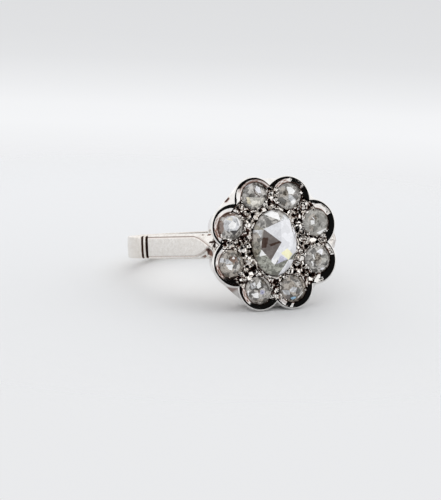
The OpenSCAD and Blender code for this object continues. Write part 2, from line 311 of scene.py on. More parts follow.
def rounded(low, high, inner, outer, radius, steps=4):
    """A loop of (width, height) points round a box, with quarter circles at its corners."""
    corners = [(high - radius, outer - radius), (low + radius, outer - radius),
               (low + radius, inner + radius), (high - radius, inner + radius)]
    arcs = []
    for quarter, corner in enumerate(corners):
        angle = np.linspace(0, np.pi / 2, steps) + quarter * np.pi / 2
        arcs.append(corner + radius * np.stack([np.cos(angle), np.sin(angle)], 1))
    return np.concatenate(arcs)


def filled(loop, longest):
    """The same loop, with even points put in wherever a side is longer than that."""
    sides = []
    for a, b in zip(loop, np.roll(loop, -1, 0)):
        parts = max(1, math.ceil(np.linalg.norm(b - a) / longest))
        sides.append(a + (b - a) * np.linspace(0, 1, parts, endpoint=False)[:, None])
    return np.concatenate(sides)


def ramp(value, start, end):
    """0 at start and before it, 1 at end and past it, and an even slope between them. The
    end may be the lower one."""
    return np.clip((value - start) / (end - start), 0, 1)


def groove_cut(distance, half):
    """How deep a groove is at that distance from its middle: flat below, with steep sides."""
    return GROOVE_DEPTH * ramp(np.abs(distance), half, half - GROOVE_FLANK)


def in_millimetres(finish):
    """Where a point of the piece is, in millimetres, for a pattern to follow."""
    place = finish.node("ShaderNodeTexCoord", {}, {}, 3)
    return finish.node("ShaderNodeVectorMath", {"operation": "SCALE"}, {0: place, "Scale": 1000.0})


def white_gold(name, polish, warm, wear, grime=None, bright=1.0):
    """Worn white gold. polish is the roughness, warm the share of yellow in the colour, wear the strength of
    the fine scratches, grime the attribute of soiling and painted shade that darkens hollows, and bright a
    factor on the colour."""
    metal = bpy.data.materials.new(name)
    gold = emptied(metal)
    place = in_millimetres(gold)
    cloud = gold.node("ShaderNodeTexNoise", {}, {"Vector": place, "Scale": CLOUD_SCALE, "Detail": 3.0})
    speck = gold.node("ShaderNodeTexNoise", {}, {
        "Vector": place, "Scale": SPECK_SCALE, "Detail": 5.0, "Roughness": 0.7})
    streak = gold.node("ShaderNodeTexNoise", {}, {"Vector": place, "Scale": STREAK_SCALE, "Detail": 4.0})
    pale = (*((PALE_GOLD - warm * PALE_WARMTH) * bright), 1)
    deep = (*((DEEP_GOLD - warm * DEEP_WARMTH) * bright), 1)
    colour = (cloud * 0.5 + speck * 0.5).smooth(0.35, 0.65).mix(deep, pale)
    rough = (polish + (speck - 0.5) * SPECK_WEAR * wear * polish
             + (streak - 0.5) * STREAK_WEAR * wear * polish)
    if grime:
        hollow = gold.node("ShaderNodeAttribute", {"attribute_name": grime}, {}, 2)
        hollow = hollow + (speck - 0.5) * DIRT_AND_SHADE_SPECKS * hollow
        colour = hollow.smooth(BROWN_FROM, BROWN_TO).mix(colour, BROWN_DIRT_AND_SHADE)
        colour = hollow.smooth(BLACK_FROM, BLACK_TO).mix(colour, BLACK_DIRT_AND_SHADE)
        rough = rough + hollow * DIRT_AND_SHADE_ROUGH
    bump = gold.node("ShaderNodeBump", {}, {
        "Height": streak * 0.6 + speck * 0.4, "Strength": WEAR_RELIEF * wear, "Distance": WEAR_DEPTH})
    surface = gold.node("ShaderNodeBsdfPrincipled", {}, {
        "Base Color": colour, "Metallic": 1.0, "Roughness": rough, "Normal": bump})
    gold.node("ShaderNodeOutputMaterial", {}, {"Surface": surface})
    return metal


root = math.radians(ROOT_ANGLE)
fine = np.linspace(-FINE_REACH, FINE_REACH, FINE_STEPS) / HOOP_R
coarse = np.linspace(-np.pi, np.pi, HOOP_STEPS, endpoint=False)
turns = np.unique(np.concatenate([coarse, root + fine, -root + fine]))
profile = filled(rounded(-HOOP_HALF, HOOP_HALF, FINGER_R, HOOP_R, EDGE_R), LONGEST_SIDE)
width, height = profile.T
outside = ramp(height, CROWN_FROM, CROWN_TO)
height = height - outside * CROWN * (width / HOOP_HALF) ** 2
along = (np.abs(turns) - root) * HOOP_R
cut = sum(groove_cut(along - place, half) for place, half in GROOVES)
radius = height - cut[:, None] * outside * ramp(height, GROOVE_FROM, GROOVE_TO)
band_points = np.stack([radius * np.sin(turns)[:, None], np.broadcast_to(width, radius.shape),
                        radius * np.cos(turns)[:, None]], -1)
# The grooves are darkened by soiling and painted shade in them
band = shell("band", band_points, grime=ramp(cut, 0, 0.5 * GROOVE_DEPTH)[:, None] * outside)
band.data.materials.append(white_gold("satin_band", 0.22, 0.8, 1.0, "grime"))
band.data.materials.append(white_gold("worn_inside", 0.5, 0.8, 1.0))
inner_side = (profile[:, 1] < CROWN_FROM) | (np.roll(profile, -1, 0)[:, 1] < CROWN_FROM)
band.data.polygons.foreach_set("material_index", np.tile(inner_side, len(turns)).astype(np.int32))
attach(band, "root")
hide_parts("ring_mount")

# The shoulders are solid wedges soldered between hoop and cup. Each carries a long flat
# panel with an engraved outline, which ends in a pointed arch between two slanted arms. A
# low bridge leads on from its tip into the cup's notch.
PANEL_STEPS, ARCH_STEPS, BEND_STEPS, BRIDGE_STEPS, ACROSS_STEPS = 60, 96, 4, 40, 97
# The panel's tip, with how round it is, the bridge's end at the cup on each side, and the
# underside below them: each is x and z
TIP, TIP_ROUND = np.array([6.58, 12.69]), 0.06
BRIDGE_X, BRIDGE_Z = 5.6, {1: 12.8, -1: 12.4}
UNDER_TIP, UNDER_RUN = np.array([5.25, 11.7]), np.array([-0.2, 0.05])
# How deep the wedge is: how far from the root, and the depth there. At the tip it is TIP_DEPTH.
WEDGE = ((0, 0.6), (1, 0.654), (2, 0.82), (3, 1.1), (4.18, 1.598), (8.16, 1.98))
TIP_DEPTH = 1.45
# Half the widths of the shoulder, of its panel and of its underside, and the broken edge
SHOULDER_HALF, PANEL_HALF, UNDER_HALF, EDGE_BREAK = 1.2, 1.0, 0.6, 0.015
# The arch narrows to the tip over ARCH_LENGTH, and the arms reach full depth over ARM_LENGTH.
# An arm sets in from ARM_FROM to ARM_TO outside the arch.
ARCH_LENGTH, ARCH_POWER, ARM_LENGTH = 2.5, 1.55, 0.9
ARM_DROP, ARM_SLANT, BORDER_DROP = 0.22, 0.4, 0.12
ARM_FROM, ARM_TO = -0.02, 0.05
# The engraved outline lies just inside the panel's edge. Painted shade lies along it, darker along the top.
LINE_IN, LINE_HALF, LINE_DEPTH, LINE_SHADE = 0.06, 0.075, 0.04, (0.44, 0.33)
# The pocket: its middle as seen from the tip, half its length and height, and how much of it has the full
# depth. It is painted dark as shade, more above and towards the root.
POCKET_PLACE, POCKET_HALF = (-0.45, -0.6), (0.36, 0.47)
POCKET_FLOOR, POCKET_DEPTH, POCKET_SHADE = 0.65, 0.12, (0.9, 0.6)
# Where soiling and painted shade sit in cuts near the tip, and how deep those cuts are: how much, and a
# convex outline.
# Along is measured from the tip, negative on the panel and positive on the bridge, and
# across is up.
DIRT_AND_SHADE_CUT_DEPTH = 0.05
DIRT_AND_SHADE_CUTS = ((1, ((-0.35, 0.28), (-0.3, 0.44), (0.2, 0.46), (0.15, 0.28))),
          (1, ((0.08, 0.52), (0.3, 0.66), (0.45, 0.35), (0.22, 0.28))),
          (1, ((0.25, 0.3), (0.3, 0.5), (1.25, 0.46), (1.25, 0.26))),
          (1, ((0.4, 0.3), (0.78, 0.32), (0.58, -0.15), (0.28, -0.17))),
          (0.4, ((-1.6, 1.04), (-1.5, 1.12), (-1.2, 1.1), (-1.3, 1.02))),
          (0.55, ((-0.85, 1.0), (-0.75, 1.14), (-0.35, 1.12), (-0.45, 1.0))),
          (0.5, ((-1.7, -1.04), (-1.1, -0.8), (-0.95, -0.95), (-1.2, -1.08))),
          (0.3, ((-0.7, -1.0), (-0.3, -0.95), (-0.2, -1.1), (-0.6, -1.12))))


def in_outline(points, corners):
    """True for the points that lie on the same side of all sides of a convex outline."""
    corners = np.array(corners, float)
    side = np.roll(corners, -1, 0) - corners
    to = points[:, None] - corners
    turn = side[:, 0] * to[..., 1] - side[:, 1] * to[..., 0]
    return (turn >= 0).all(1) | (turn <= 0).all(1)


def panel_drop(along, across, dirt_and_shade_share):
    """Depth of the shoulder's face under the flat panel, and its soiling and painted shade. Borders slope
    down outside the panel, arms slant away beside the pointed arch, a thin cut with painted shade runs round
    the panel, and a small pocket with painted shade lies below the tip. dirt is the share of
    DIRT_AND_SHADE_CUTS, and of the pocket's shade."""
    past = np.clip(along + ARCH_LENGTH, 0, ARCH_LENGTH)
    arch = PANEL_HALF * (1 - (past / ARCH_LENGTH) ** ARCH_POWER)
    outside = np.abs(across) - arch
    on_panel = along < 0
    arm = ramp(outside, ARM_FROM, ARM_TO) * ramp(past, 0, ARM_LENGTH) * on_panel
    arm = arm * arm * (3 - 2 * arm)
    border = BORDER_DROP * ramp(np.abs(across), PANEL_HALF, SHOULDER_HALF)
    line = np.exp(-((outside + LINE_IN) / LINE_HALF) ** 2) * on_panel
    pocket = ramp(np.hypot((along - POCKET_PLACE[0]) / POCKET_HALF[0],
                           (across - POCKET_PLACE[1]) / POCKET_HALF[1]), 1, POCKET_FLOOR)
    drop = border * (1 - arm) + arm * (ARM_DROP + ARM_SLANT * outside)
    drop = drop + LINE_DEPTH * line + POCKET_DEPTH * pocket
    darkening = np.maximum(line * np.where(across > 0, *LINE_SHADE),
                       dirt_and_shade_share * pocket * np.where(across - along > 0, *POCKET_SHADE))
    place = np.stack(np.broadcast_arrays(along, across), -1).reshape(-1, 2)
    for amount, outline in DIRT_AND_SHADE_CUTS:
        in_dark_cut = in_outline(place, outline).reshape(drop.shape)
        darkening = np.where(in_dark_cut, dirt_and_shade_share * amount, darkening)
        drop = drop + DIRT_AND_SHADE_CUT_DEPTH * dirt_and_shade_share * in_dark_cut
    return drop, np.clip(darkening, 0, 1)


def shoulder(name, side, dirt_and_shade_share):
    """A loop of points round the wedge at each step from root to tip and over the bridge:
    across the face, down one side, back along the hidden underside and up the other side.
    side is 1 for the right one and -1 for the left one."""
    normal = np.array([math.sin(root), math.cos(root)])
    forward = np.array([-math.cos(root), math.sin(root)])
    length = TIP @ forward
    first = GROOVES[0][1] - GROOVES[0][0] - GROOVE_FLANK
    bridge = np.array([BRIDGE_X, BRIDGE_Z[side]])
    bridge_length = np.linalg.norm(bridge - TIP)
    inward = (bridge - TIP) / bridge_length
    bridge_normal = np.array([inward[1], -inward[0]])
    middle = TIP - (normal + bridge_normal) * TIP_ROUND / (1 + normal @ bridge_normal)
    steps = np.concatenate([
        np.linspace(first, length - ARCH_LENGTH, PANEL_STEPS, endpoint=False),
        np.linspace(length - ARCH_LENGTH, (middle + TIP_ROUND * normal) @ forward, ARCH_STEPS)])
    bend = np.linspace(0, 1, BEND_STEPS + 2)[1:-1, None]
    bent = normal * (1 - bend) + bridge_normal * bend
    bent = bent / np.linalg.norm(bent, axis=1, keepdims=True)
    over = np.linspace(0, 1, BRIDGE_STEPS)[:, None]
    face = (TIP @ normal) * normal + steps[:, None] * forward
    depth = np.interp(steps, *zip(*WEDGE, (length, TIP_DEPTH)))[:, None]
    run = np.linspace(0, 1, BEND_STEPS + BRIDGE_STEPS)[:, None]
    under = np.concatenate([face - depth * normal, UNDER_TIP + run * UNDER_RUN])
    across = np.linspace(-SHOULDER_HALF + EDGE_BREAK, SHOULDER_HALF - EDGE_BREAK, ACROSS_STEPS)
    drop, darkening = panel_drop(steps[:, None] - length, across, dirt_and_shade_share)
    bend_darkening = panel_drop(np.zeros((BEND_STEPS, 1)), across, dirt_and_shade_share)[1]
    bridge_darkening = panel_drop(over * bridge_length, across, dirt_and_shade_share)[1]
    corner = drop[-1][:, None] * normal
    bridge_start = middle + TIP_ROUND * bridge_normal - corner
    top = np.concatenate([face[:, None] - drop[..., None] * normal,
                          middle + TIP_ROUND * bent[:, None] - corner,
                          bridge_start + over[..., None] * (bridge - bridge_start)])
    down = -EDGE_BREAK * np.concatenate([np.broadcast_to(normal, (len(steps), 2)), bent,
                                         np.broadcast_to(bridge_normal, (BRIDGE_STEPS, 2))])[:, None]
    low = np.broadcast_to(under[:, None], (len(under), 4, 2))
    flat = np.concatenate([top, top[:, -1:] + down, low, top[:, :1] + down], 1)
    widths = np.concatenate([across, [SHOULDER_HALF, SHOULDER_HALF, UNDER_HALF],
                             [-UNDER_HALF, -SHOULDER_HALF, -SHOULDER_HALF]])
    points = np.stack([side * flat[..., 0], np.broadcast_to(widths, flat.shape[:2]), flat[..., 1]], -1)
    darkening = np.concatenate([darkening, bend_darkening, bridge_darkening])
    grime = np.concatenate([darkening, np.zeros((len(darkening), 6))], 1)
    piece = shell(name, points, ring=False, sharp=20, grime=grime)
    piece.data.materials.append(shoulder_gold)
    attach(piece, "root")
    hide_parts("ring_mount")


shoulder_gold = white_gold("satin_shoulder", 0.2, 0.5, 1.6, "grime")
# The right shoulder has little soiling and painted shade, the left the full amount
shoulder("shoulder_right", 1, 0.2)
shoulder("shoulder_left", -1, 1)

# The cup is one casting of white gold: eight tapering petals round a bowl, with a polished
# lip on top and a bevel that slopes down to the stones. Its underside is open.
PETAL_CIRCLE, WALL_SLOPE = 4.65058, math.tan(math.radians(15))
OUTLINE_CIRCLE, OUTLINE_R = 4.46, 2.3
# The notches between the petals, in degrees clockwise from the top
NOTCHES = (-2.6, 44.0, 91.5, 137.5, 180.0, 224.0, 270.8, 315.0)
PAIRING = math.radians(0.8)
# How far the rim stands off the head's middle, and between which heights that sets in
RIM_SHIFT, SHIFT_FROM, SHIFT_TO = (0.02, -0.04), 11.6, 12.6
# How much more each petal stands out than a circle, and the radius of its bevel's foot
SWELL = (-0.08, 0, 0, -0.04, -0.04, 0, 0, 0.09)
FEET = (1.4, 1.4, 1.4, 1.4, 1.42, 1.44, 1.4, 1.54)
# The bowl between the petals: height, and radius there
BOWL = ((10.0, 5.744), (12.1, 6.214), (13.0, 5.424))
# Heights of the cup's base, of the plate's worked top and of its underside
BASE_Z, FIELD_Z, PLATE_Z = 10.0, 12.65, 11.65
# The lip's inner radius round a petal's middle, the height of the bevel's foot, and the
# least width that the lip and the bevel keep
LIP_R, FOOT_Z, LEAST_WIDTH = 1.82, 12.88, 0.02
# How close to the head's middle the bevel's foot comes, the radius of the hollow below the
# plate, and the heights of the steps down the cup's inside
FIELD_R, HOLLOW_R = 5.38, 5.044
INSIDE_Z = (12.7, 12.4, 12.2, BASE_Z)
# The rounding of the outer edge: its radius at the notches, and what each petal adds to it
RIM_ROUND, ROUNDER = 0.18, (0, 0, 0, 0, 0, 0.1, 0.07, 0.05)
# How wide the crease is where petal and bowl meet, and how far in that is set: in the wall
# and in the rounded edge
WALL_CREASE, WALL_IN, EDGE_CREASE, EDGE_IN = 0.12, 0.03, 0.04, 0.06
# Steps round the cup, up the wall (even ones to WALL_BREAK, and the last ones from just
# above it), over the edge, across the lip and down the bevel
TURN_STEPS, WALL_STEPS, WALL_BREAK, LAST_STEPS, LAST_FROM = 640, 22, 12.4, 6, 12.45
EDGE_STEPS, LIP_STEPS, BEVEL_STEPS = 8, 4, 11
# Where hand work flattened the bevel: petal, from and to (degrees round its middle, from
# the right and counterclockwise), how far out it reaches from there, and its slopes to the
# right and upwards. The flats lie FLAT_DEPTH under the rim at FLAT_R from the middle, fade
# over FLAT_ENDS (radians) and FLAT_SIDE, and leave at least LIP_LEFT of the lip.
FLATS = ((1, 38, 88, 2.2, 0.1, -0.4), (2, 28, 118, 1.86, -0.22, 0.1), (3, 14, 78, 1.86, -0.22, 0.1),
         (3, -104, -72, 2.3, -0.22, 0.1), (4, -150, -112, 1.95, -0.22, 0.1), (4, -108, -88, 2.0, -0.22, 0.1),
         (6, 60, 120, 1.86, -0.22, 0.1), (8, 145, 215, 2.04, -0.22, 0.1))
FLAT_DEPTH, FLAT_R, FLAT_ENDS, FLAT_SIDE, LIP_LEFT = 0.05, 1.6, 0.1, 0.05, 0.04
# Where the bevel has painted shade and is a little rougher: petal, from and to in the same degrees, how much.
# The painted shade is mottled, out from the petal's middle and round it.
BEVEL_SHADES = ((8, 55, 165, 0.45), (1, 85, 180, 0.45), (1, 10, 70, 0.3), (2, 40, 110, 0.2),
          (4, -160, -100, 0.3), (7, 130, 190, 0.4), (7, 172, 228, 0.68), (6, 130, 180, 0.35),
          (6, 172, 240, 0.65), (5, 150, 235, 0.5))
BEVEL_SHADE_R, BEVEL_SHADE_ENDS, MOTTLED_OUT, MOTTLED_ROUND = 2.14, 0.25, 19.8, 17
# Painted shade along the bevel's foot, over that much of its width, and a painted dark reflection low on the
# wall
FOOT_SHADE, FOOT_SHADE_START, FOOT_SHADE_FULL = 0.9, 0.12, 0.05
WALL_DARK_REFLECTION, WALL_DARK_TOP, WALL_DARK_BOTTOM = 0.25, 12.2, 11.45
# Painted dark reflections on the wall, in the flutes between two petals: direction and half its width in
# degrees, from and to which height, how much. Then how far each fades in above its foot and below its top,
# and from which share of its half width it fades outwards.
FLUTE_REFLECTIONS = ((226.5, 6.5, 11.7, 12.78, 0.4), (314.5, 3.5, 11.85, 12.3, 1.4))
REFLECTION_LOW, REFLECTION_HIGH, REFLECTION_MIDDLE = 0.15, 0.08, 1 / 3


def petal_off(angle):
    """Angle from the middle of the ray's own petal. The petals stand two and two, each a
    little nearer to its mate than to the next pair."""
    return angle % (np.pi / 4) - np.pi / 8 + PAIRING * (1 - 2 * (np.floor(angle / (np.pi / 4)) % 2))


def even_turn(angle):
    """The angle that a ray would have if the notches stood evenly."""
    notches = np.radians(NOTCHES + (NOTCHES[0] + 360, NOTCHES[1] + 360))
    return np.interp(angle, notches, np.arange(10) * np.pi / 4)


def by_petal(values, angle):
    """Each petal's value at its middle, which falls to nothing at the notches beside it."""
    even = even_turn(angle)
    return np.array(values)[(even // (np.pi / 4)).astype(int) % 8] * np.abs(np.sin(4 * even))


def foot_radius(angle):
    """Radius of the bevel's foot on the ray's petal."""
    return np.array(FEET)[(angle // (np.pi / 4)).astype(int)]


def ray_length(off, radius, circle):
    """How far a ray from the head's middle runs to the outer side of a petal's circle:
    d cos a + sqrt(r^2 - (d sin a)^2), with a measured from the petal's middle and d the
    distance out to it, or nothing where the ray misses the petal."""
    room = radius ** 2 - (circle * np.sin(off)) ** 2
    return np.where(room > 0, circle * np.cos(off) + np.sqrt(np.clip(room, 0, None)), 0)


def petal_edge(angle, radius):
    """That length for a circle round the middle of the ray's petal."""
    return ray_length(petal_off(angle), radius, PETAL_CIRCLE)


def outline_edge(angle, radius):
    """That length for the cup's outer side, whose circles lie further in and meet at the
    notches."""
    off = even_turn(angle) % (np.pi / 4) - np.pi / 8
    return ray_length(off, radius + by_petal(SWELL, angle), OUTLINE_CIRCLE)


def petal_distance(radius, angle):
    """Distance from the middle of the ray's own petal."""
    return np.sqrt(radius ** 2 + PETAL_CIRCLE ** 2 - 2 * radius * PETAL_CIRCLE * np.cos(petal_off(angle)))


def soft_max(first, second, blend):
    """The larger of the two, with the crease between them rounded over that width."""
    return 0.5 * (first + second + np.sqrt((first - second) ** 2 + blend ** 2))


def round_petal(petal, start, end):
    """The mouth's points seen from a petal's middle: how far to the right and up, and the
    angle by which they lie off the direction halfway between start and end."""
    middle_turn = np.pi / 8 * (2 * petal - 1)
    right = mouth_r * np.sin(petal_turn) - PETAL_CIRCLE * math.sin(middle_turn)
    up = mouth_r * np.cos(petal_turn) - PETAL_CIRCLE * math.cos(middle_turn)
    off = np.arctan2(up, right) - math.radians(0.5 * (start + end))
    return right, up, np.abs((off + np.pi) % (2 * np.pi) - np.pi)


petal_turn = np.linspace(0, 2 * np.pi, TURN_STEPS, endpoint=False)[:, None]
rim_round = RIM_ROUND + by_petal(ROUNDER, petal_turn)
low_z = np.broadcast_to(np.linspace(BASE_Z, WALL_BREAK, WALL_STEPS), (TURN_STEPS, WALL_STEPS))
last_z = LAST_FROM + (RIM_Z - rim_round - LAST_FROM) * np.linspace(0, 1, LAST_STEPS)
wall_z = np.concatenate([low_z, last_z], 1)
wall_r = soft_max(outline_edge(petal_turn, OUTLINE_R - (RIM_Z - wall_z) * WALL_SLOPE),
                  np.interp(wall_z, *zip(*BOWL)), WALL_CREASE) - WALL_IN
over = np.linspace(0, np.pi / 2, EDGE_STEPS + 1)[1:]
round_z = RIM_Z - rim_round + rim_round * np.sin(over)
round_r = soft_max(outline_edge(petal_turn, OUTLINE_R - rim_round + rim_round * np.cos(over)),
                   np.interp(round_z, *zip(*BOWL)) - EDGE_IN, EDGE_CREASE)
edge = round_r[:, -1:]
foot_r = foot_radius(petal_turn)
foot_edge = np.maximum(petal_edge(petal_turn, foot_r), FIELD_R)
lip_edge = np.maximum(np.minimum(petal_edge(petal_turn, LIP_R), edge - LEAST_WIDTH), foot_edge + LEAST_WIDTH)
lip_r = edge + (lip_edge - edge) * np.linspace(0, 1, LIP_STEPS + 1)[1:]
bevel_r = lip_edge + (foot_edge - lip_edge) * np.linspace(0, 1, BEVEL_STEPS + 1)[1:]
mouth_r = np.concatenate([lip_r, bevel_r], 1)
from_middle = petal_distance(mouth_r, petal_turn)
lip_here = np.minimum(petal_distance(lip_edge, petal_turn), LIP_R)
mouth_z = RIM_Z - (RIM_Z - FOOT_Z) * ramp(from_middle, lip_here, foot_r)
mouth_z[:, :LIP_STEPS] = RIM_Z
for petal, start, end, far, slope_right, slope_up in FLATS:
    right, up, off = round_petal(petal, start, end)
    half, way = math.radians(0.5 * (end - start)), math.radians(0.5 * (start + end))
    flat = ramp(off, half, half - FLAT_ENDS) * ramp(np.hypot(right, up), far, far - FLAT_SIDE)
    flat = flat * (mouth_r < edge - LIP_LEFT)
    plane = slope_right * (right - FLAT_R * math.cos(way)) + slope_up * (up - FLAT_R * math.sin(way))
    mouth_z = mouth_z + flat * (RIM_Z - FLAT_DEPTH + plane - mouth_z)
hollow_edge = np.full_like(foot_edge, HOLLOW_R)
inside_r = np.concatenate([foot_edge - LEAST_WIDTH / 2, foot_edge - LEAST_WIDTH, hollow_edge, hollow_edge], 1)
inside_z = np.broadcast_to(INSIDE_Z, inside_r.shape)
cup_r = np.concatenate([wall_r, round_r, mouth_r, inside_r], 1)
cup_z = np.concatenate([wall_z, round_z, mouth_z, inside_z], 1)
darkening = FOOT_SHADE * ramp(from_middle, foot_r + FOOT_SHADE_START, foot_r + FOOT_SHADE_FULL)
for petal, start, end, amount in BEVEL_SHADES:
    off = round_petal(petal, start, end)[2]
    half = math.radians(0.5 * (end - start))
    mottled = 0.75 + 0.5 * np.sin(MOTTLED_OUT * from_middle) * np.sin(MOTTLED_ROUND * off)
    in_bevel_shade = ramp(off, half, half - BEVEL_SHADE_ENDS) * (from_middle < BEVEL_SHADE_R)
    darkening = np.maximum(darkening, amount * in_bevel_shade * mottled)
grime = WALL_DARK_REFLECTION * ramp(cup_z, WALL_DARK_TOP, WALL_DARK_BOTTOM)
at_mouth = wall_r.shape[1] + round_r.shape[1]
grime[:, at_mouth:at_mouth + mouth_r.shape[1]] = darkening
for way, half, low, high, amount in FLUTE_REFLECTIONS:
    reflected_dark = ramp(np.abs(np.degrees(petal_turn) - way), half, half * REFLECTION_MIDDLE)
    reflected_dark = reflected_dark * ramp(wall_z, low, low + REFLECTION_LOW) * ramp(wall_z, high, high - REFLECTION_HIGH)
    grime[:, :wall_z.shape[1]] += amount * reflected_dark
shift = ramp(cup_z, SHIFT_FROM, SHIFT_TO)
cup_points = np.stack([cup_r * np.sin(petal_turn) + RIM_SHIFT[0] * shift,
                       cup_r * np.cos(petal_turn) + RIM_SHIFT[1] * shift, cup_z], -1)
cup = shell("cup", cup_points, grime=grime)
cup.data.materials.append(white_gold("polished_cup", 0.04, 0.2, 0.5, "grime"))
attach(cup, "root")
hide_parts("ring_mount")

# The plate fills the cup's mouth. The setter has cut the seats into it and dug away the
# metal between the stones with the graver, which left a lively field of small planes.
CENTRE_HALF = (2.3, 3.15)
STONE_CIRCLE, SIDE_R = 4.80058, 1.34
# How far each side stone sits from its even place
STONE_SHIFT = ((-0.06, 0.02), (0, 0), (0.05, 0), (0, 0), (0, 0), (-0.02, 0), (0.15, 0), (-0.03, 0.13))
# The graver's touches: how far apart, how far into its square of the grid each one lies,
# how much they tilt and step, how narrow the creases between them are and how deep, and
# after how many touches the pattern starts again
TOUCH, TOUCH_SHAKEN, TOUCH_TILT, TOUCH_STEP, TOUCH_BLEND = 0.38, (0.1, 0.9), 0.55, 0.12, 0.012
TOUCH_CREASE, TOUCH_COUNT = 0.06, 48
# The larger beads of metal between the stones: x, y and radius
BEADS = ((-2.76, 2.89, 0.3), (-3.82, 0.28, 0.26), (-2.68, -1.43, 0.36), (-1.81, -2.83, 0.3),
         (1.42, -3.71, 0.34), (0.1, -4.51, 0.33), (2.6, 1.56, 0.33), (4.6, -3.2, 0.24), (5.1, -0.42, 0.22),
         (4.6, -0.39, 0.22), (4.12, -0.46, 0.22), (0.62, 4.72, 0.22), (0.41, 5.07, 0.2), (0.68, 3.83, 0.3),
         (-0.58, 5.05, 0.2), (-1.21, 3.78, 0.22), (-5.05, 0.75, 0.24), (-4.6, 0.55, 0.22), (5.2, 0.45, 0.24),
         (2.25, -2.1, 0.3), (-2.79, 0.23, 0.26), (2.75, -0.92, 0.26), (-2.0, 3.07, 0.22), (3.3, -3.1, 0.25),
         (3.2, 3.3, 0.26), (-3.3, -3.4, 0.25), (-0.45, -5.1, 0.2), (0.5, -5.15, 0.2), (-3.2, 3.5, 0.22),
         (3.1, 0.3, 0.24), (5.5, -0.5, 0.34), (5.75, -0.95, 0.28), (4.75, -3.72, 0.26), (-5.4, -0.5, 0.24),
         (0.05, 5.35, 0.18))
# Smaller beads round each side stone: in which directions, in degrees from the one to the
# head's middle, how far they stray from there, how far they reach in, and their radii
BEAD_WAYS, BEAD_STRAY, BEAD_IN, BEAD_R = (-110, -75, -40, 0, 40, 75, 110), 14, 0.1, (0.13, 0.27)
# The pit round a bead: how far off the bead its deepest line is, half its width, its depth
PIT_OFF, PIT_HALF, PIT_DEPTH = 0.02, 0.07, 0.08
# The field beside a side stone is calmer, down to CALMEST of its relief
CALM_WIDTH, CALMEST, FIELD_RISE = 0.2, 0.6, 0.03
# The collar round the centre stone: its rise, where its inner side ends and its outer side starts and ends,
# and the painted shadow line at the stone
COLLAR_RISE, COLLAR_IN, COLLAR_TOP, COLLAR_OUT = 0.12, 0.05, 0.17, 0.32
STONE_LINE, STONE_LINE_HALF = 0.01, 0.07
# The cut round a side stone: how far off the stone, half its width and its depth
CUT_OFF, CUT_HALF, CUT_DEPTH = 0.05, 0.06, 0.05
# The seat under a side stone: its height, and from where to where its side falls
SEAT_Z, SEAT_OUT, SEAT_IN = 12.54, 0.03, -0.01
# How far below the field soiling and painted shade start and where they are black, and how much of them sits
# in the creases between touches, in the cuts, as painted shadow, and in the pits
HOLLOW_DARK_FROM, HOLLOW_DARK_TO = 0.02, 0.07
CREASE_DIRT_AND_SHADE, CUT_SHADOW, PIT_DIRT_AND_SHADE = 0.2, 0.9, 0.8
# The plate's own edges: inside the oval, where the field's steps start, and under the bevel
HOLE_IN, FIELD_FROM, FOOT_LAP = 0.55, 0.45, 0.06
PLATE_STEPS, FIELD_STEPS = 832, 92
PLATE_SHIFT_FROM, PLATE_SHIFT_TO = 4.2, 5.2
stone_turns = np.radians(22.5 * (2 * np.arange(8) + 1)) - PAIRING * (1 - 2 * (np.arange(8) % 2))
stone_middles = STONE_CIRCLE * np.stack([np.sin(stone_turns), np.cos(stone_turns)], 1) + STONE_SHIFT
setter = np.random.default_rng(11)
beads = list(BEADS)
for stone_turn, stone_middle in zip(stone_turns, stone_middles):
    for way in BEAD_WAYS:
        inward = stone_turn + np.pi + math.radians(way + setter.uniform(-BEAD_STRAY, BEAD_STRAY))
        bead_r = setter.uniform(*BEAD_R)
        off_stone = (SIDE_R - BEAD_IN + 0.5 * bead_r) * np.array([np.sin(inward), np.cos(inward)])
        beads.append((*(stone_middle + off_stone), bead_r))


def oval_distance(x, y):
    """Distance outside the centre stone's oval, about: |p| (1 - 1/q), with q the scale of
    the oval that runs through the point."""
    q = np.sqrt((x / CENTRE_HALF[0]) ** 2 + (y / CENTRE_HALF[1]) ** 2)
    return np.hypot(x, y) * (1 - 1 / np.clip(q, 0.05, None))


def graver_touches(x, y):
    """Height of the graver's touches, and how close the border between two of them is. Each
    point c of a shaken grid has a plane h + t . (p - c), and the planes are mixed by the
    weights exp(-|p - c| / blend), which leaves narrow creases where two meet."""
    column, row = np.floor(x / TOUCH).astype(int), np.floor(y / TOUCH).astype(int)
    shaken = setter.uniform(*TOUCH_SHAKEN, (TOUCH_COUNT, TOUCH_COUNT, 2))
    tilt = setter.normal(0, TOUCH_TILT, (TOUCH_COUNT, TOUCH_COUNT, 2))
    step = setter.uniform(-TOUCH_STEP, TOUCH_STEP, (TOUCH_COUNT, TOUCH_COUNT))
    total, height, most = (np.zeros(x.shape) for _ in range(3))
    for i, j in [(i, j) for i in (-1, 0, 1) for j in (-1, 0, 1)]:
        cell = (column + i) % TOUCH_COUNT, (row + j) % TOUCH_COUNT
        dx = x - (column + i + shaken[cell][..., 0]) * TOUCH
        dy = y - (row + j + shaken[cell][..., 1]) * TOUCH
        weight = np.exp(-np.hypot(dx, dy) / TOUCH_BLEND)
        total += weight
        height += weight * (step[cell] + tilt[cell][..., 0] * dx + tilt[cell][..., 1] * dy)
        most = np.maximum(most, weight)
    return height / total, 2 * (1 - most / total)


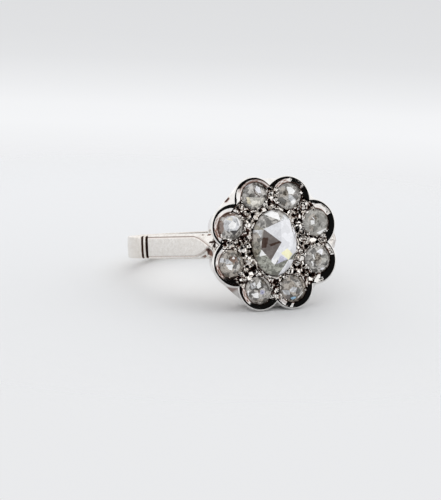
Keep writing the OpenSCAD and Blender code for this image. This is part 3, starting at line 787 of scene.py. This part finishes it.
def field_height(x, y):
    """Height of the worked plate, and the share of soiling and painted shade in its hollows. A low collar
    stands round the centre stone, a thin cut runs round each side stone, a pit round each bead, and each seat
    is sunk. A painted shadow line runs round the centre stone, and the cuts and seats are painted dark as
    shade."""
    height, border = graver_touches(x, y)
    near = np.full(x.shape, np.inf)
    for bead_x, bead_y, bead_r in beads:
        near = np.minimum(near, np.abs(np.hypot(x - bead_x, y - bead_y) - bead_r - PIT_OFF))
    pit = ramp(near, PIT_HALF, 0)
    gap = oval_distance(x, y)
    stones = np.hypot(x[..., None] - stone_middles[:, 0], y[..., None] - stone_middles[:, 1]).min(-1) - SIDE_R
    calm = np.maximum(ramp(stones, 0, CALM_WIDTH), CALMEST)
    collar = COLLAR_RISE * ramp(gap, 0, COLLAR_IN) * ramp(gap, COLLAR_OUT, COLLAR_TOP)
    cut = ramp(np.abs(stones - CUT_OFF), CUT_HALF, 0)
    seat = ramp(stones, SEAT_OUT, SEAT_IN)
    z = FIELD_Z + FIELD_RISE + calm * (height - TOUCH_CREASE * border)
    z = z + collar - CUT_DEPTH * cut - PIT_DEPTH * pit
    hollow = ramp(z, FIELD_Z - HOLLOW_DARK_FROM, FIELD_Z - HOLLOW_DARK_TO)
    line = ramp(np.abs(gap - STONE_LINE), STONE_LINE_HALF, 0)
    dirt_and_shade_share = CREASE_DIRT_AND_SHADE * border + hollow + CUT_SHADOW * cut + PIT_DIRT_AND_SHADE * pit + line + seat
    return z * (1 - seat) + SEAT_Z * seat, np.clip(dirt_and_shade_share, 0, 1)


plate_turn = np.linspace(0, 2 * np.pi, PLATE_STEPS, endpoint=False)[:, None]
inner = 1 / np.hypot(np.sin(plate_turn) / (CENTRE_HALF[0] - HOLE_IN),
                     np.cos(plate_turn) / (CENTRE_HALF[1] - HOLE_IN))
outer = np.maximum(petal_edge(plate_turn, foot_radius(plate_turn)), FIELD_R) + FOOT_LAP
field_r = inner + FIELD_FROM
top_r = np.concatenate([inner, field_r + (outer - field_r) * np.linspace(0, 1, FIELD_STEPS)], 1)
x, y = top_r * np.sin(plate_turn), top_r * np.cos(plate_turn)
z, hollow = field_height(x, y)
under_r = np.concatenate([outer, 0.5 * (inner + outer), inner], 1)
shift = ramp(top_r, PLATE_SHIFT_FROM, PLATE_SHIFT_TO)
top = np.stack([x + RIM_SHIFT[0] * shift, y + RIM_SHIFT[1] * shift, z], -1)
under = np.stack([under_r * np.sin(plate_turn), under_r * np.cos(plate_turn),
                  np.full(under_r.shape, PLATE_Z)], -1)
plate = shell("setting_plate", np.concatenate([top, under], 1),
              grime=np.concatenate([hollow, np.zeros(under_r.shape)], 1))
plate.data.materials.append(white_gold("graved_plate", 0.04, 0.5, 0.3, "grime", bright=1.2))
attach(plate, "root")
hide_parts("ring_mount")

# The grains are those beads: rough domes of white gold, each in a dark pit, that the setter
# has raised with the graver and pushed against the stones to hold them.
GRAIN_RINGS, GRAIN_SIDES = 5, 9
# Each grain is stretched and dented by its own amounts, and larger ones stand higher
GRAIN_STRETCH, GRAIN_DENTS = (0.45, 1.45), (0.55, 1.25)
GRAIN_Z, GRAIN_LIFT, SMALL_GRAIN = 0.05, 0.45, 0.15
beads = np.array(beads)
places = np.stack([beads[:, 0], beads[:, 1], FIELD_Z + GRAIN_Z + GRAIN_LIFT * (beads[:, 2] - SMALL_GRAIN)], 1)
latitude = np.linspace(-np.pi / 2, np.pi / 2, GRAIN_RINGS + 2)[1:-1, None]
longitude = np.linspace(0, 2 * np.pi, GRAIN_SIDES, endpoint=False)
ball = np.stack([np.cos(latitude) * np.cos(longitude), np.cos(latitude) * np.sin(longitude),
                 np.sin(latitude) * np.ones_like(longitude)], -1)
sizes = beads[:, 2, None, None, None] * setter.uniform(*GRAIN_STRETCH, (len(places), 1, 1, 3))
domes = places[:, None, None] + ball * sizes * setter.uniform(*GRAIN_DENTS, (len(places), *ball.shape[:2], 1))
poles = places[:, None] + np.array([(0, 0, -1), (0, 0, 1)]) * sizes[:, 0]
vertices = np.concatenate([domes.reshape(len(places), -1, 3), poles], 1)
count = vertices.shape[1]
grid = np.arange(count - 2).reshape(ball.shape[:2])
turned = np.roll(grid, -1, 1)
sides = np.stack([grid[:-1], turned[:-1], turned[1:], grid[1:]], -1).reshape(-1, 4).tolist()
ends = np.stack([np.full(GRAIN_SIDES, count - 2), turned[0], grid[0]], -1).tolist()
ends += np.stack([np.full(GRAIN_SIDES, count - 1), grid[-1], turned[-1]], -1).tolist()
faces = [[i + count * k for i in face] for k in range(len(places)) for face in sides + ends]
grain_mesh = bpy.data.meshes.new("setting_grains")
grain_mesh.from_pydata(at_rest(vertices.reshape(-1, 3)), [], faces)
grains = placed("setting_grains", grain_mesh)
grain_mesh.materials.append(white_gold("bright_grains", 0.03, 0.4, 0.3, bright=1.2))
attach(grains, "root")
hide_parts("ring_mount")

# The stones are rose-cut diamonds with flat backs: six star facets meet in a point, and a
# belt of smaller facets runs down to the girdle. Each rests in its seat under the grains.
STAR_RISE = 0.64
# The star's corners: direction in degrees, and how far out, as a share. They lie at STAR_RISE
# of the dome's height.
CENTRE_STAR = ((16, 0.74), (75, 0.67), (144, 0.74), (191, 0.785), (237, 0.62), (311, 0.69))
SIDE_STAR = tuple((60 * i, 0.6) for i in range(6))
# How many degrees each side stone is turned in its seat
SIDE_TURN = (8, 31, 14, 47, 22, 3, 38, 52)
# Where the girdles' tops are, each kind's dome and girdle, where the centre stone's point
# stands, and into how many steps a facet's side is split
CENTRE_GIRDLE_Z, SIDE_GIRDLE_Z = 13.008, 12.702
CENTRE_DOME, CENTRE_GIRDLE, CENTRE_TIP, CENTRE_STEPS = 1.15, 0.22, (0.22, 0.04), 20
SIDE_DOME, SIDE_GIRDLE, SIDE_STEPS = 0.85, 0.13, 12
# The lower facets are painted a little darker and brighter by turns, as shaded and lit, and the girdle has
# painted brown shade
SHADED_FACET_GAIN, LIT_FACET_GAIN, GIRDLE_SHADE, GIRDLE_SHADE_FROM = 0.86, 1.1, 0.5, 0.93
# Tones painted into the stones for the light, shade and reflections seen in them: red, green, blue, and how
# strongly small cells of light show
TONES = {"white": (1, 1, 1, 0.1), "ice": (0.85, 0.855, 0.89, 0.12), "pearl": (0.72, 0.69, 0.62, 0.5),
         "cream": (0.80, 0.73, 0.55, 0.3), "mist": (0.62, 0.63, 0.65, 0.45), "lilac": (0.62, 0.62, 0.76, 0.2),
         "lavender": (0.34, 0.34, 0.46, 0.3), "straw": (1, 0.96, 0.62, 0.05), "sky": (0.35, 0.62, 0.85, 0.2),
         "ink": (0.07, 0.08, 0.20, 0), "smoke": (0.19, 0.165, 0.155, 0.15), "tan": (0.19, 0.12, 0.09, 0.3),
         "soot": (0.012, 0.008, 0.007, 0), "umber": (0.07, 0.042, 0.033, 0.1), "moss": (0.16, 0.14, 0.09, 1),
         "lichen": (0.30, 0.305, 0.25, 0.7), "pebble": (0.335, 0.318, 0.295, 1),
         "sand": (0.25, 0.215, 0.175, 1), "haze": (0.35, 0.34, 0.31, 0.55)}
# The patterns inside a stone, per millimetre: how they are bent, its cells of light in two
# sizes, with the factor on the tone and the light added in a dim cell and in a lit one, and
# its cracks
BEND_SCALE, BEND_REACH = 1.6, 0.7
CELL_SCALES, CELL_FROM, CELL_TO = (1.7, 4.2), 0.28, 0.72
DIM_CELL, LIT_CELL = (0.3, 0.0), (1.3, 0.16)
CRACK_SCALE, CRACK_WIDTH, CRACK_SHARE, CRACK_TONE = 2.9, 0.07, 0.6, (0.07, 0.055, 0.045, 1)
# A diamond shines a little of its own tone, for the light that would come back out of it
STONE_POLISH, STONE_GLOW, STONE_IOR = 0.03, 0.1, 1.8


def rose_facets(half, dome, girdle, star, tip=(0, 0)):
    """Corner points of the triangles of a rose cut, and the kind of facet of each: star
    facets, middle facets, lower facets, girdle and back. The girdle's line dips between
    the star's corners, because every facet is plane."""
    turns, shares = np.radians([s[0] for s in star]), np.array([s[1] for s in star])
    after = np.concatenate([turns[1:], turns[:1] + 2 * np.pi])
    middle = (turns + after) / 2
    before = np.concatenate([middle[-1:] - 2 * np.pi, middle[:-1]])
    stations = np.stack([(before + turns) / 2, turns, (turns + middle) / 2, middle], 1)

    def oval(angles, scale=1.0, height=0.0):
        return np.stack([scale * half[0] * np.cos(angles), scale * half[1] * np.sin(angles),
                         np.broadcast_to(height, angles.shape)], -1)

    corner = oval(turns, shares, STAR_RISE * dome)
    edge = oval(stations)
    last = np.roll(edge[:, 3], 1, 0)

    def dip(a, b, c, q):
        normal = np.cross(b - a, c - a)
        q[:, 2] = a[:, 2] - ((q - a)[:, :2] * normal[:, :2]).sum(1) / normal[:, 2]

    dip(corner, last, edge[:, 1], edge[:, 0])
    dip(corner, edge[:, 1], edge[:, 3], edge[:, 2])
    apex = np.broadcast_to([tip[0], tip[1], dome], corner.shape)
    following = np.roll(corner, -1, 0)
    parts = [(apex, corner, following), (corner, edge[:, 3], following),
             (corner, last, edge[:, 0]), (corner, edge[:, 0], edge[:, 1]),
             (corner, edge[:, 1], edge[:, 2]), (corner, edge[:, 2], edge[:, 3])]
    top = np.concatenate([np.stack(part, 1) for part in parts])
    kinds = np.repeat([0, 1, 2, 3, 4, 5], len(star))
    loop = edge.reshape(-1, 3)
    low = loop * (1, 1, 0) - (0, 0, girdle)
    loop2, low2 = np.roll(loop, -1, 0), np.roll(low, -1, 0)
    heart = np.broadcast_to([0, 0, -girdle], low.shape)
    rest = [np.stack(part, 1) for part in ((loop, low, low2), (loop, low2, loop2), (low, heart, low2))]
    kinds = np.concatenate([kinds, np.repeat([6, 6, 7], len(loop))])
    return np.concatenate([top, *rest]), kinds, len(star)


def split_facets(facets, steps):
    """Each triangle cut into steps x steps small ones that lie in its plane."""
    i, j = (k.reshape(-1) for k in np.meshgrid(np.arange(steps), np.arange(steps), indexing="ij"))
    upright = np.stack([(i, j), (i + 1, j), (i, j + 1)]).transpose(2, 0, 1)[i + j < steps]
    turned_over = np.stack([(i + 1, j), (i + 1, j + 1), (i, j + 1)]).transpose(2, 0, 1)[i + j < steps - 1]
    small = np.concatenate([upright, turned_over]) / steps
    a, b, c = (facets[:, k][:, None, None] for k in range(3))
    return (a + small[None, ..., :1] * (b - a) + small[None, ..., 1:] * (c - a)).reshape(-1, 3, 3), len(small)


def diamond(name, node, half, dome, girdle, star, base, marks, place, turn, steps, tip=(0, 0)):
    """A stone in its seat. base is the painted tone that most of it has, or one for each facet of the top and
    then one for all the rest. marks are the clear reflections inside it, painted: a tone and a convex outline
    each, in the head's millimetres from the stone's middle. The girdle has painted brown shade."""
    facets, kinds, count = rose_facets(half, dome, girdle, star, tip)
    small, per = split_facets(facets, steps)
    sine, cosine = math.sin(turn), math.cos(turn)
    small = small @ np.array([(cosine, sine, 0), (-sine, cosine, 0), (0, 0, 1)])
    middles = small.mean(1)[:, :2]
    tones = [base] if isinstance(base, str) else base
    chosen = np.minimum(kinds * count + np.arange(len(kinds)) % count, len(tones) - 1)
    colour = np.array([TONES[tones[k]] for k in chosen])
    colour[:, :3] *= np.where(kinds < 2, 1, np.where(kinds % 2, SHADED_FACET_GAIN, LIT_FACET_GAIN))[:, None]
    colour = np.repeat(colour, per, 0)
    for tone, outline in marks:
        colour[in_outline(middles, outline)] = TONES[tone]
    edge = np.hypot(middles[:, 0] / half[0], middles[:, 1] / half[1])
    darkening = GIRDLE_SHADE * ramp(edge, GIRDLE_SHADE_FROM, 1)[:, None]
    colour = colour * (1 - darkening) + darkening * np.array(TONES["umber"])
    corners, back = np.unique((small + place).reshape(-1, 3).round(6), axis=0, return_inverse=True)
    faces = back.reshape(-1, 3)
    a, b, c = (corners[faces[:, k]] for k in range(3))
    if (np.cross(a, b) * c).sum() < 0:
        faces = faces[:, ::-1]
    mesh = bpy.data.meshes.new(name)
    mesh.from_pydata(at_rest(corners), [], faces)
    mesh.attributes.new("tone", "FLOAT_COLOR", "FACE").data.foreach_set(
        "color", colour.astype(np.float32).reshape(-1))
    mesh.materials.append(stone_finish)
    stone = placed(name, mesh)
    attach(stone, "root")
    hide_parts(node)


stone_finish = bpy.data.materials.new("rose_cut_diamond")
clear = emptied(stone_finish)
tone = clear.node("ShaderNodeAttribute", {"attribute_name": "tone"})
inside = in_millimetres(clear)
warp = clear.node("ShaderNodeTexNoise", {}, {"Vector": inside, "Scale": BEND_SCALE, "Detail": 2.0}, 1)
bent = clear.vector("MULTIPLY_ADD", warp, (BEND_REACH, BEND_REACH, BEND_REACH), inside)
large, small = (clear.node("ShaderNodeSeparateColor", {}, {
    0: clear.node("ShaderNodeTexVoronoi", {}, {"Vector": bent, "Scale": scale}, 1)}) for scale in CELL_SCALES)
cell = (large * 0.6 + small * 0.4).smooth(CELL_FROM, CELL_TO)
dim, lit = (clear.vector("MULTIPLY_ADD", tone, (gain, gain, gain), (lift, lift, lift))
            for gain, lift in (DIM_CELL, LIT_CELL))
crack = clear.node("ShaderNodeTexVoronoi", {"feature": "DISTANCE_TO_EDGE"}, {
    "Vector": bent, "Scale": CRACK_SCALE})
strength = clear.node("ShaderNodeAttribute", {"attribute_name": "tone"}, {}, 3)
feather = (1 - crack.smooth(0, CRACK_WIDTH)) * strength * CRACK_SHARE
tone = feather.mix(strength.mix(tone, cell.mix(dim, lit)), CRACK_TONE)
clear.node("ShaderNodeOutputMaterial", {}, {"Surface": clear.node("ShaderNodeBsdfPrincipled", {}, {
    "Base Color": tone, "Roughness": STONE_POLISH, "IOR": STONE_IOR, "Emission Color": tone,
    "Emission Strength": STONE_GLOW})})
# Painted light and reflections in the centre stone: a tone for each facet of the top, two star facets dark,
# then one for all the rest
centre_tones = (["ice", "ice", "smoke", "smoke", "ice", "ice"]
                + ["ice", "pebble", "pebble", "lichen", "lichen", "ice"]
                + ["ice", "mist", "pebble", "moss", "lichen", "ice"]
                + ["ice", "pebble", "pebble", "sand", "lichen", "ice"]
                + ["ice", "pebble", "moss", "moss", "lichen", "ice"]
                + ["pebble", "mist", "sand", "lichen", "lichen", "lichen"]
                + ["sand"])
centre_marks = [
    ("umber", [(-0.96, -0.11), (-0.01, 0.18), (0.2, 0.03), (-0.8, -0.29)]),
    ("umber", [(-1.58, 0.58), (-0.98, 0.55), (-1.25, -0.4), (-1.69, -0.43)]),
    ("white", [(-1.69, -0.58), (-1.2, -1.11), (-1.81, -1.21)]),
    ("white", [(-0.76, -1.69), (0.03, -1.28), (-0.28, -2.02), (-0.39, -2.07)]),
    ("straw", [(0.9, -0.58), (1.59, -1.13), (1.04, -1.66), (0.21, -0.98)]),
    ("lilac", [(0.2, -1.18), (0.85, -1.63), (-0.17, -2.03)]),
    ("white", [(-1.04, 2.77), (-0.14, 3.06), (0.39, 2.78), (0.42, 2.07)]),
    ("mist", [(-2.15, 1.32), (-1.49, 1.29), (-1.64, 0.58), (-2.28, 0.31)]),
    ("sand", [(-2.4, 1.0), (-1.9, 1.1), (-1.66, 0.55), (-1.75, 0.3), (-2.4, 0.2)]),
    ("moss", [(-2.4, 0.2), (-1.8, 0.3), (-1.75, -0.45), (-1.95, -1.3), (-2.2, -1.3), (-2.4, -0.5)])]
diamond("centre_diamond", "centre_stone", CENTRE_HALF, CENTRE_DOME, CENTRE_GIRDLE,
        CENTRE_STAR, centre_tones, centre_marks, (0, 0, CENTRE_GIRDLE_Z), 0.0, CENTRE_STEPS, CENTRE_TIP)

# The side stones differ in the painted light and reflections that show inside them. Each entry is one stone,
# clockwise from the top right: its own tone, then its marks.
side_marks = [
    ("pebble", [("sand", [(-1.2, -0.3), (-1.2, 0.4), (-0.6, 0.85), (-0.3, 0.4), (-0.3, 0), (-0.8, -0.25)]),
                ("white", [(-0.33, 0.77), (0.1, 0.77), (0.5, 0.35), (0.2, 0.1), (-0.25, 0.1)]),
                ("mist", [(-0.25, 0.05), (0.05, -0.05), (0.6, -0.5), (0.05, -0.7), (-0.25, -0.4)]),
                ("white", [(0, -0.6), (0.3, -0.4), (0.62, -0.55), (0.4, -0.95), (0.15, -0.9)]),
                ("sand", [(-0.8, -0.65), (-0.3, -0.6), (-0.3, -1), (-0.7, -1)]),
                ("smoke", [(0.3, 0.1), (0.65, 0.1), (0.6, -0.15), (0.4, -0.1)])]),
    ("haze", [("white", [(-0.1, -1.02), (0.35, -1.2), (0.98, -0.72), (0.9, -0.62)]),
                ("sand", [(-0.9, 0.5), (-0.3, 0.9), (-0.1, 0.3), (-0.8, 0.1)]),
                ("white", [(-0.75, 0.22), (-0.4, 0.18), (-0.4, -0.15), (-0.7, -0.25)]),
                ("white", [(-0.66, 0.5), (-0.6, 0.55), (-0.35, 0.28), (-0.42, 0.22)]),
                ("smoke", [(-0.56, 0.5), (-0.48, 0.55), (-0.28, 0.32), (-0.34, 0.26)]),
                ("sand", [(0.1, 0), (0.2, 0.05), (0.1, -0.4), (0, -0.3)]),
                ("sand", [(-0.9, -0.3), (-0.5, -0.4), (-0.4, -0.9), (-0.8, -0.7)])]),
    ("pebble", [("ice", [(-0.3, 0.75), (0.2, 1), (0.45, 0.9), (0.15, 0.35)]),
                ("haze", [(0.1, 0.1), (0.6, 0.35), (1.05, 0.1), (0.6, -0.5), (0.1, -0.5)]),
                ("sand", [(-0.35, 0.65), (0.1, 0.2), (0.1, -0.1), (-0.25, -0.6), (-0.6, -0.4), (-0.55, 0.1)]),
                ("white", [(-0.75, 0.5), (-0.62, 0.45), (-0.55, 0), (-0.68, 0.05)]),
                ("white", [(-0.9, -0.2), (-0.78, -0.15), (-0.62, -0.6), (-0.7, -0.65)]),
                ("soot", [(0.46, -0.6), (0.62, -0.2), (0.92, -0.12), (0.86, -0.5), (0.6, -0.72)]),
                ("ice", [(0, -1.05), (0.15, -0.85), (0.6, -0.85), (0.45, -1.05)])]),
    ("sand", [("mist", [(-0.6, -0.1), (-0.3, 0.2), (0.1, 0.1), (0, -0.35), (-0.5, -0.3)]),
              ("mist", [(-1.2, -0.1), (-0.65, -0.1), (-0.5, -0.6), (-1, -0.5)]),
              ("pebble", [(-0.2, 0.8), (0.5, 0.9), (0.8, 0.3), (0.1, 0.2)]),
              ("pebble", [(0.1, 0), (0.8, 0.1), (0.6, -0.5), (0.1, -0.5)]),
              ("smoke", [(-1.05, -0.65), (-0.5, -0.65), (-0.5, -1.1)]),
              ("sky", [(-0.44, -0.88), (-0.2, -0.76), (0.14, -0.8), (0.1, -0.95), (-0.2, -1.05)]),
              ("white", [(0.3, -0.83), (0.85, -0.36), (0.9, -0.42), (0.36, -0.9)])]),
    ("pebble", [("white", [(-0.43, 0.54), (0.07, 0.97), (0, 0.37), (-0.33, 0.17)]),
                ("white", [(-0.9, -0.25), (-0.3, -0.15), (-0.25, -0.7), (-0.6, -0.65)]),
                ("white", [(-1.2, 0), (-1.08, 0.05), (-1.05, -0.45), (-1.15, -0.4)]),
                ("mist", [(-0.9, 0.7), (-0.5, 0.8), (-0.45, 0.3), (-0.85, 0.2)]),
                ("smoke", [(-0.78, 0.62), (-0.68, 0.66), (-0.62, 0.4), (-0.7, 0.35)]),
                ("lavender", [(-0.15, 0), (0.1, 0.12), (0.38, -0.1), (0.2, -0.38), (-0.1, -0.35)]),
                ("ink", [(0, -0.14), (0.14, -0.14), (0.14, -0.24), (0.02, -0.24)]),
                ("umber", [(-0.35, 0.1), (-0.2, 0.05), (-0.2, -0.22), (-0.3, -0.18)]),
                ("sand", [(0.2, 1.05), (0.8, 0.8), (0.6, 0.55), (0.2, 0.7)]),
                ("sand", [(-0.8, -0.85), (0.4, -0.8), (0.3, -1.1), (-0.4, -1.15)])]),
    ("sand", [("mist", [(-1.15, 0.6), (-0.8, 0.6), (-0.8, 0.15), (-1.15, 0.2)]),
              ("pebble", [(0, -0.1), (0.6, 0.25), (0.75, -0.5), (0.1, -0.85)]),
              ("mist", [(-0.7, 0.5), (-0.45, 0.45), (-0.1, 0.05), (-0.75, 0)]),
              ("white", [(-0.72, -0.08), (-0.05, -0.05), (-0.15, -0.6), (-0.45, -0.5)]),
              ("tan", [(-0.42, 0.4), (-0.1, 0.75), (0.4, 0.6), (0.5, 0.2), (0.2, -0.1)]),
              ("white", [(-0.12, 0.52), (0.1, 0.68), (0.22, 0.5), (0.02, 0.42)]),
              ("soot", [(0.08, 0.14), (0.34, 0.24), (0.28, -0.04), (0.12, -0.04)]),
              ("mist", [(0.55, 0.65), (0.95, 0.4), (0.7, 0.25)])]),
    ("pebble", [("tan", [(-1.34, 0.55), (-0.92, 0.6), (-0.85, -0.3), (-1.05, -0.8), (-1.3, -0.4)]),
                ("tan", [(-0.95, 0.9), (-0.3, 1.3), (0.6, 1.15), (0.3, 0.95), (-0.6, 0.85)]),
                ("mist", [(-0.9, 0.1), (-0.8, 0.55), (-0.4, 0.95), (0.25, 0.98), (0.65, 0.6), (0.74, 0.1),
                          (0.3, -0.48), (-0.5, -0.48), (-0.82, -0.3)]),
                ("pearl", [(-0.6, 0.6), (-0.3, 0.92), (0.1, 0.8), (-0.1, 0.5)]),
                ("white", [(0.4, 0.85), (0.62, 0.75), (0.84, 0.35), (0.8, 0), (0.68, 0)]),
                ("white", [(-0.5, 0.1), (-0.1, 0.5), (0.3, 0.3), (0.15, -0.2), (-0.35, -0.25)]),
                ("soot", [(-0.38, -0.4), (0.5, -0.4), (0.14, -0.92)]),
                ("soot", [(0.3, -0.55), (0.4, -0.62), (0.84, -0.1), (0.74, -0.03)])]),
    ("pebble", [("pearl", [(-1, -0.15), (1, -0.25), (0.9, -0.75), (0.2, -1.15), (-0.6, -1)]),
                ("cream", [(-0.95, -0.1), (-0.7, -0.15), (-0.5, -0.8), (-0.8, -0.75)]),
                ("ice", [(-0.1, 0.55), (0.1, 0.9), (0.45, 0.75), (0.5, 0.15), (0.05, 0.25)]),
                ("mist", [(-0.9, 0.95), (-0.3, 1.15), (-0.5, 0.9), (-0.85, 0.8)]),
                ("umber", [(-0.25, 0.4), (-0.15, 0.4), (-0.02, 0.05), (-0.12, 0)]),
                ("umber", [(-0.12, 0.15), (0, 0.15), (0.4, -0.16), (0.2, -0.24)]),
                ("smoke", [(-0.22, 0.95), (-0.14, 0.95), (-0.14, 0.5), (-0.22, 0.5)])])]
for k, (base, marks) in enumerate(side_marks):
    diamond(f"side_diamond_{k + 1}", f"side_stone_{k + 1}", (SIDE_R, SIDE_R), SIDE_DOME,
            SIDE_GIRDLE, SIDE_STAR, base, marks, (*stone_middles[k], SIDE_GIRDLE_Z),
            math.radians(SIDE_TURN[k]) - stone_turns[k], SIDE_STEPS)
